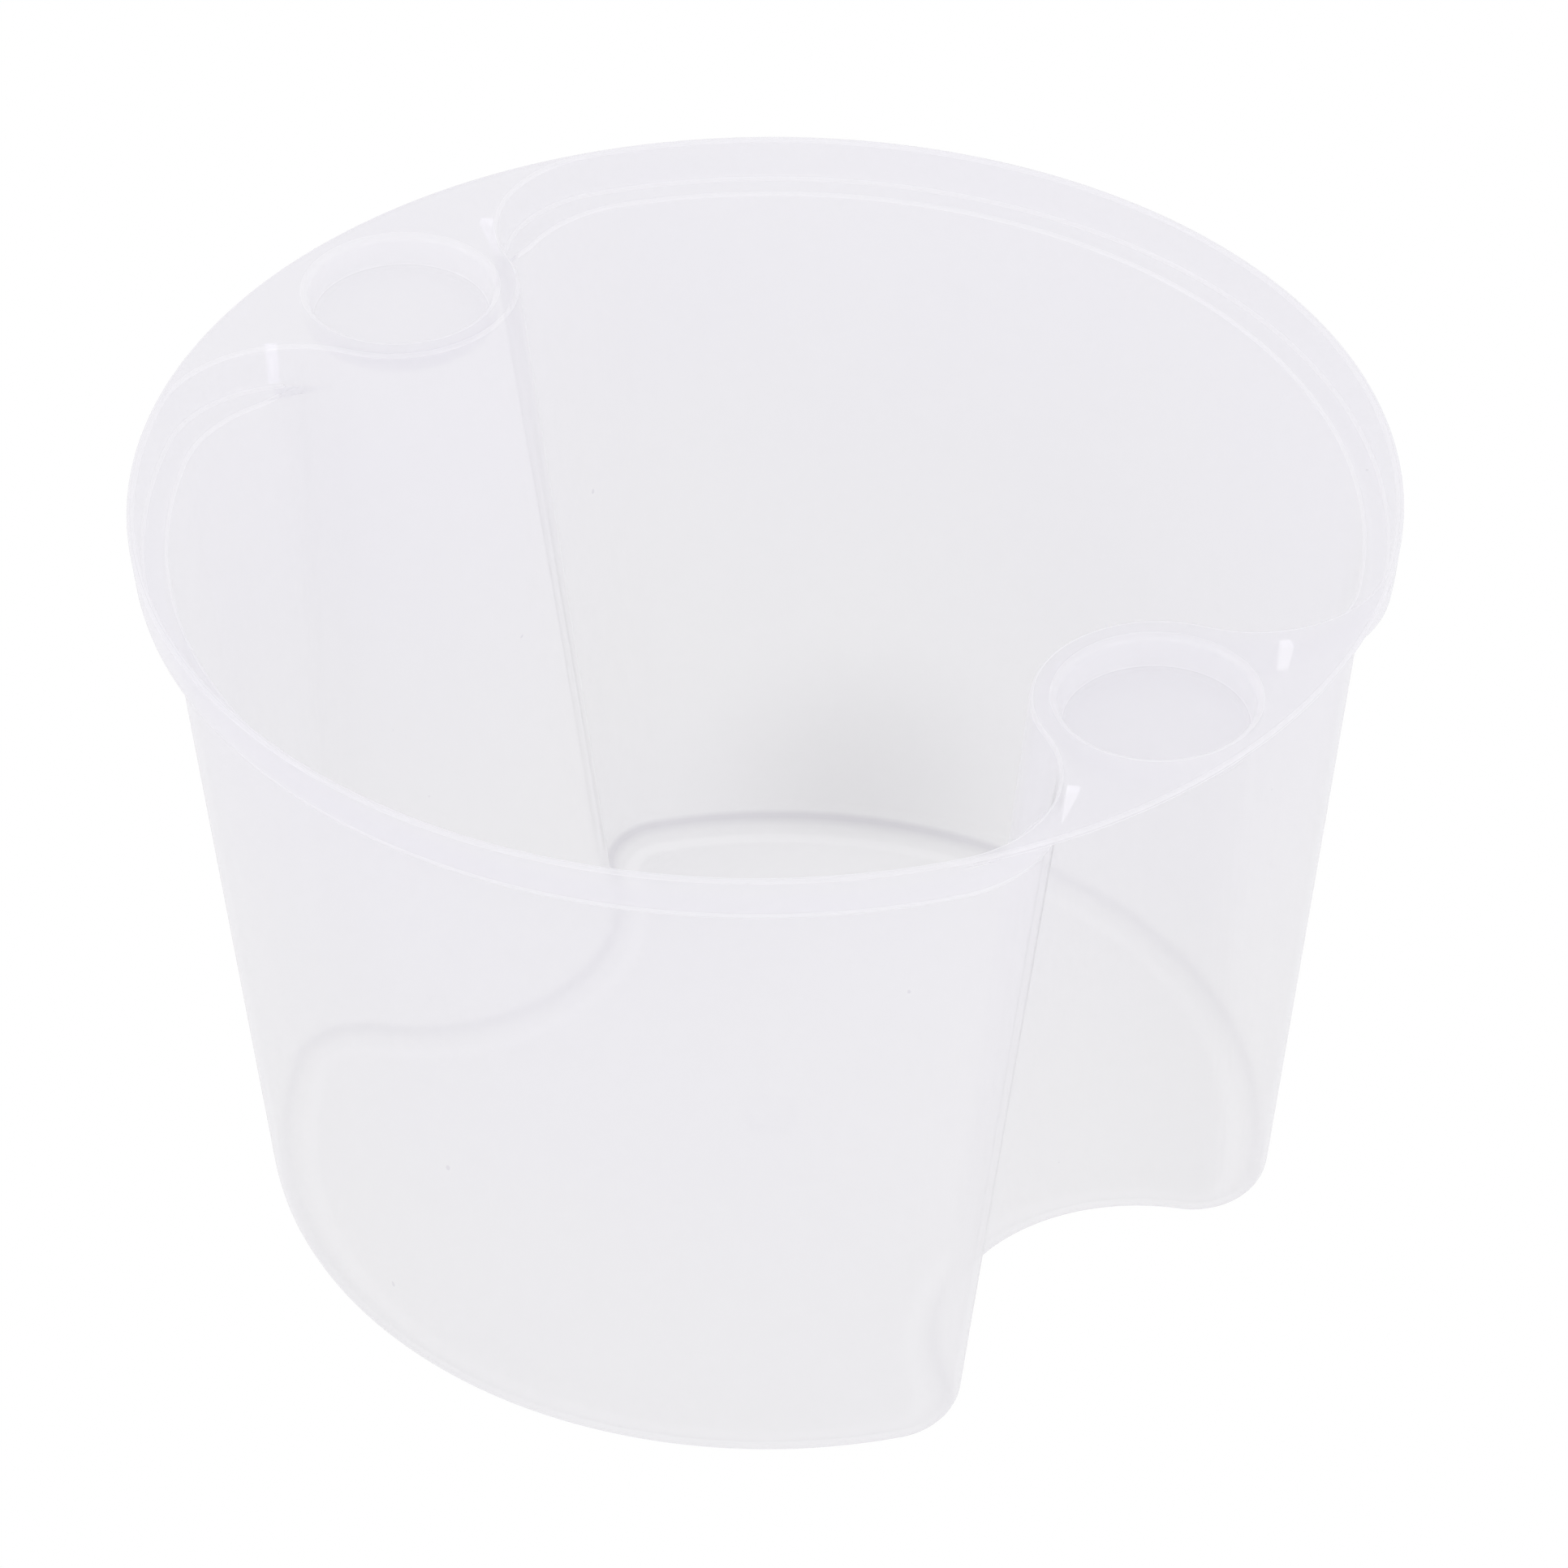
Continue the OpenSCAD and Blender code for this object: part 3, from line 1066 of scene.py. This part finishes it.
@dataclass
class Tub:
    """The whole moulding: one skin over all its regions, and the gusset ribs of the frame."""

    sizes: TubSizes = field(default_factory=TubSizes)
    columns: Columns = field(default_factory=Columns)
    ribs: tuple[str, ...] = ("left_gussets", "right_gussets")
    cup_beside: float = 0.3
    cup_above: float = 0.5
    cup_steep: float = 0.7

    @property
    def wall(self) -> Outline:
        """Outline of the main wall at the ledge."""
        s = self.sizes
        return Outline(s.lobe_r, s.wall_corner_r, s.pocket_r, s.grip_x)

    @property
    def rim(self) -> Outline:
        """Outline of the rim band at the lip."""
        s = self.sizes
        return Outline(s.rim_r, s.band_corner_r, s.grip_r, s.grip_x)

    def build(self) -> bpy.types.Object:
        """Models the skin and sets it in place of the frame's nodes.

        Returns:
            The skin.
        """
        bench = Workbench("tub_skin")
        WallSkin(self.sizes, self.wall, self.rim, self.columns).build(bench)
        FloorPanel(self.sizes).build(bench)
        for side in Side:
            GripTop(self.sizes, self.rim, side).build(bench)
        bench.weld()
        rounding = EdgeRounding(self.sizes, self.wall, self.rim)
        rounding.build(bench)
        skin = bench.leave()
        for _ in Finish:
            skin.data.materials.append(None)
        rounding.finish(skin)
        self.paint_cup_glow(skin)
        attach(skin, "root")
        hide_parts(*(n for n in frame["nodes"] if n not in self.ribs))
        return skin

    def paint_cup_glow(self, skin: bpy.types.Object) -> None:
        """Gives the walls of the thumb cups the edge finish, whose painted glow is a painted
        highlight there.

        Args:
            skin: The skin.
        """
        s = self.sizes
        for face in skin.data.polygons:
            x, y, z = (v / MM for v in face.center)
            inside = math.hypot(abs(x) - s.cup_x, y) < s.cup_r + self.cup_beside
            above = z > s.body_h - s.cup_depth + self.cup_above
            if inside and above and abs(face.normal.z) < self.cup_steep:
                # Painted highlight: the cup walls take the glowing edge finish.
                face.material_index = Finish.EDGE.value

    def dress(
        self,
        skin: bpy.types.Object,
        wall: bpy.types.Material,
        edge: bpy.types.Material,
        rib: bpy.types.Material,
    ) -> None:
        """Gives skin and ribs their finish.

        Args:
            skin: The skin.
            wall: The milky plastic of the walls.
            edge: The same plastic at its rounded edges and cup walls, lighter and with a painted
                glow standing in for the light piped out there.
            rib: The same plastic in the thick gusset ribs, with a painted glow.
        """
        for finish, material in ((Finish.WALL, wall), (Finish.EDGE, edge)):
            skin.data.materials[finish.value] = material
        for obj in (frame["nodes"][n] for n in self.ribs):
            obj.data.materials.clear()
            obj.data.materials.append(rib)


@dataclass(frozen=True)
class Lamp:
    """One soft rectangular lamp, in metres and watts."""

    name: str
    place: Place
    size: Point
    power: float
    aim: Place = (0.0, 0.0, 0.07)

    def build(self) -> None:
        """Hangs the lamp and turns it to its aim."""
        bpy.ops.object.light_add(type="AREA", location=self.place)
        lamp = bpy.context.object
        lamp.name = self.name
        lamp.data.shape = "RECTANGLE"
        lamp.data.size, lamp.data.size_y = self.size
        lamp.data.energy = self.power
        aim = Vector(self.aim) - Vector(self.place)
        lamp.rotation_euler = aim.to_track_quat("-Z", "Y").to_euler()


@dataclass
class Studio:
    """White sweep, soft lamps and the photograph's camera, in metres and degrees."""

    camera_place: Place = (0.6858, -0.7232, 0.8441)
    camera_aim: Place = (0.00187, 0.00176, 0.0716)
    camera_roll: float = -0.479
    lens: float = 179.4
    sensor: float = 36.0
    clip_start: float = 0.05
    floor_size: float = 8.0
    floor_cuts: int = 3
    bounces: int = 20
    sky: float = 0.84
    horizon: float = 0.935
    floor_light: float = 0.905
    shade: float = 0.2
    room_tint: Colour = (0.998, 0.99, 1.015)
    shade_place: Point = (-0.0501, 0.0764)
    shade_turn: float = 133.3
    shade_size: Point = (0.052, 0.038)
    shade_start: Point = (0.072, 0.086)
    lamps: tuple[Lamp, ...] = (
        Lamp("left_lamp", (-0.75, -1.0, 0.6), (0.22, 0.9), 0.8),
        Lamp("right_lamp", (1.25, -0.1, 0.6), (0.22, 0.9), 0.9),
    )

    def split_view(
        self,
        tree: bpy.types.NodeTree,
        lit: bpy.types.Node,
        paper: bpy.types.Node,
        out: bpy.types.Node,
    ) -> None:
        """Shows the paper where the camera sees it directly and the lit one to all else.

        Args:
            tree: Tree of the floor's material or the world.
            lit: What lights the tub and is seen through it.
            paper: What the camera sees beside the tub.
            out: The tree's output.
        """
        nodes, links = tree.nodes, tree.links
        path = nodes.new("ShaderNodeLightPath")
        clear, direct = nodes.new("ShaderNodeMath"), nodes.new("ShaderNodeMath")
        clear.operation, direct.operation = "LESS_THAN", "MULTIPLY"
        clear.inputs[1].default_value = 0.5  # no surface passed yet
        links.new(path.outputs["Transparent Depth"], clear.inputs[0])
        links.new(path.outputs["Is Camera Ray"], direct.inputs[0])
        links.new(clear.outputs[0], direct.inputs[1])
        mix = nodes.new("ShaderNodeMixShader")
        links.new(direct.outputs[0], mix.inputs[0])
        links.new(lit.outputs[0], mix.inputs[1])
        links.new(paper.outputs[0], mix.inputs[2])
        links.new(mix.outputs[0], out.inputs["Surface"])

    def cast_shade(self, tree: bpy.types.NodeTree, lit: bpy.types.Node) -> None:
        """Darkens the lit floor softly behind the tub.

        Args:
            tree: Tree of the floor's material.
            lit: What lights the tub and is seen through it.
        """
        nodes, links = tree.nodes, tree.links
        place = nodes.new("ShaderNodeTexCoord").outputs["Object"]
        oval = nodes.new("ShaderNodeMapping")
        oval.vector_type = "TEXTURE"
        oval.inputs["Location"].default_value = (*self.shade_place, 0.0)
        oval.inputs["Rotation"].default_value = (0.0, 0.0, math.radians(self.shade_turn))
        oval.inputs["Scale"].default_value = (*self.shade_size, 1.0)
        links.new(place, oval.inputs["Vector"])
        dark, light = nodes.new("ShaderNodeMath"), nodes.new("ShaderNodeMath")
        dark.operation, light.operation = "MULTIPLY", "MULTIPLY_ADD"
        for source, near, far, socket in (
            (oval.outputs["Vector"], 1.0, 0.0, dark.inputs[0]),
            (place, *self.shade_start, dark.inputs[1]),
        ):
            away, fall = nodes.new("ShaderNodeVectorMath"), nodes.new("ShaderNodeMapRange")
            away.operation, fall.interpolation_type = "LENGTH", "SMOOTHSTEP"
            fall.inputs["From Min"].default_value = near
            fall.inputs["From Max"].default_value = far
            links.new(source, away.inputs[0])
            links.new(away.outputs["Value"], fall.inputs["Value"])
            links.new(fall.outputs["Result"], socket)
        links.new(dark.outputs["Value"], light.inputs[0])
        light.inputs[1].default_value = -self.shade
        light.inputs[2].default_value = self.floor_light
        links.new(light.outputs["Value"], lit.inputs["Strength"])

    def floor(self) -> None:
        """Lays the floor: white to the camera, a little darker to what stands on it."""
        bpy.ops.object.select_all(action="DESELECT")
        bpy.ops.mesh.primitive_plane_add(size=self.floor_size)
        floor = bpy.context.object
        floor.name = "floor"
        bpy.ops.object.mode_set(mode="EDIT")
        bpy.ops.mesh.subdivide(number_cuts=self.floor_cuts)
        bpy.ops.object.mode_set(mode="OBJECT")
        material = bpy.data.materials.new("white_sweep")
        material.use_nodes = True
        nodes = material.node_tree.nodes
        nodes.remove(nodes["Principled BSDF"])
        paper, lit = nodes.new("ShaderNodeEmission"), nodes.new("ShaderNodeEmission")
        lit.inputs["Color"].default_value = (*self.room_tint, 1.0)
        self.cast_shade(material.node_tree, lit)
        self.split_view(material.node_tree, lit, paper, nodes["Material Output"])
        floor.data.materials.append(material)

    def world(self) -> None:
        """Fills the room with even white light."""
        world = bpy.data.worlds.new("white_room")
        world.use_nodes = True
        nodes, links = world.node_tree.nodes, world.node_tree.links
        room = nodes["Background"]
        room.inputs["Color"].default_value = (*self.room_tint, 1.0)
        split = nodes.new("ShaderNodeSeparateXYZ")
        links.new(nodes.new("ShaderNodeTexCoord").outputs["Generated"], split.inputs[0])
        rise = nodes.new("ShaderNodeMapRange")
        rise.inputs["To Min"].default_value = self.horizon
        rise.inputs["To Max"].default_value = self.sky
        links.new(split.outputs["Z"], rise.inputs["Value"])
        links.new(rise.outputs["Result"], room.inputs["Strength"])
        paper = nodes.new("ShaderNodeBackground")
        paper.inputs["Color"].default_value = (1.0, 1.0, 1.0, 1.0)
        self.split_view(world.node_tree, room, paper, nodes["World Output"])
        bpy.context.scene.world = world

    def camera(self) -> None:
        """Sets the camera at the photograph's place."""
        bpy.ops.object.camera_add(location=self.camera_place)
        camera = bpy.context.object
        camera.name = "photo_camera"
        camera.data.lens = self.lens
        camera.data.sensor_width = self.sensor
        camera.data.clip_start = self.clip_start
        aim = Vector(self.camera_aim) - Vector(self.camera_place)
        roll = Quaternion((0, 0, 1), math.radians(self.camera_roll))
        camera.rotation_euler = (aim.to_track_quat("-Z", "Y") @ roll).to_euler()
        bpy.context.scene.camera = camera

    def build(self) -> None:
        """Sets up floor, light and camera."""
        self.floor()
        self.world()
        for lamp in self.lamps:
            lamp.build()
        self.camera()
        scene = bpy.context.scene
        scene.view_settings.view_transform = "Standard"
        scene.cycles.max_bounces = scene.cycles.transparent_max_bounces = self.bounces
        scene.cycles.diffuse_bounces = scene.cycles.glossy_bounces = self.bounces // 2


def main() -> None:
    """Builds the tub and the studio in order and logs the skin's face count."""
    logging.basicConfig(level=logging.INFO, format="%(name)s: %(message)s")
    Studio().build()
    tub = Tub()
    skin = tub.build()
    haze = MouldedHaze().make()
    wall = MilkyPlastic(
        "milky_wall", base=(0.945, 0.945, 0.94), upper=(0.945, 0.937, 0.971), milk=0.36
    )
    # The edge finish is lighter, with a painted glow.
    edge = MilkyPlastic(
        "milky_edge_glow", base=(0.975, 0.975, 0.985), upper=(0.975, 0.97, 0.99), milk=0.45, glow=0.022
    )
    # The ribs carry a painted glow.
    rib = MilkyPlastic(
        "milky_rib_glow", base=(0.985, 0.985, 0.99), upper=(0.985, 0.98, 0.995), milk=0.75, glow=0.15
    )
    tub.dress(skin, wall.make(haze), edge.make(haze), rib.make(haze))
    LOG.info("%s: %d faces", skin.name, len(skin.data.polygons))


if __name__ == "__main__":
    main()
